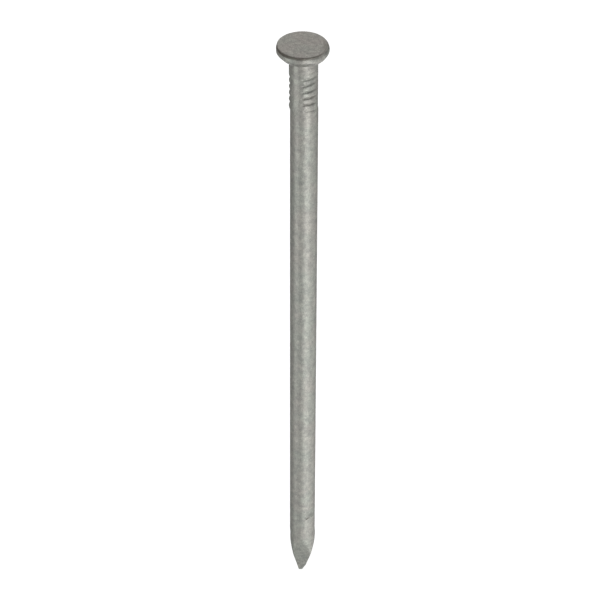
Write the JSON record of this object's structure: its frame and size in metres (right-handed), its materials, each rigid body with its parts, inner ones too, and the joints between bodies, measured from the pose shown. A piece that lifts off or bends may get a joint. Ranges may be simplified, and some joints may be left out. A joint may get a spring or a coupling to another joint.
{
  "type": "round wire nail",
  "caption": "Hot-dip galvanised round wire nail with a flat head, grip marks under the head and a four-sided point.",
  "frame": {"origin": "middle of the head's flat top face, on the shank's axis", "axes": "+Z along the shank from the point to the head; -Y faces the viewer, with one grip row ahead and to the right"},
  "size_m": [0.0114, 0.0114, 0.152],
  "materials": {
    "steel": "drawn mild steel wire, dull",
    "zinc": "hot-dip galvanised, matt mottled grey"
  },
  "bodies": {
    "root": {"galvanised_coating": "zinc", "steel_core": "steel"}
  },
  "joints": []
}
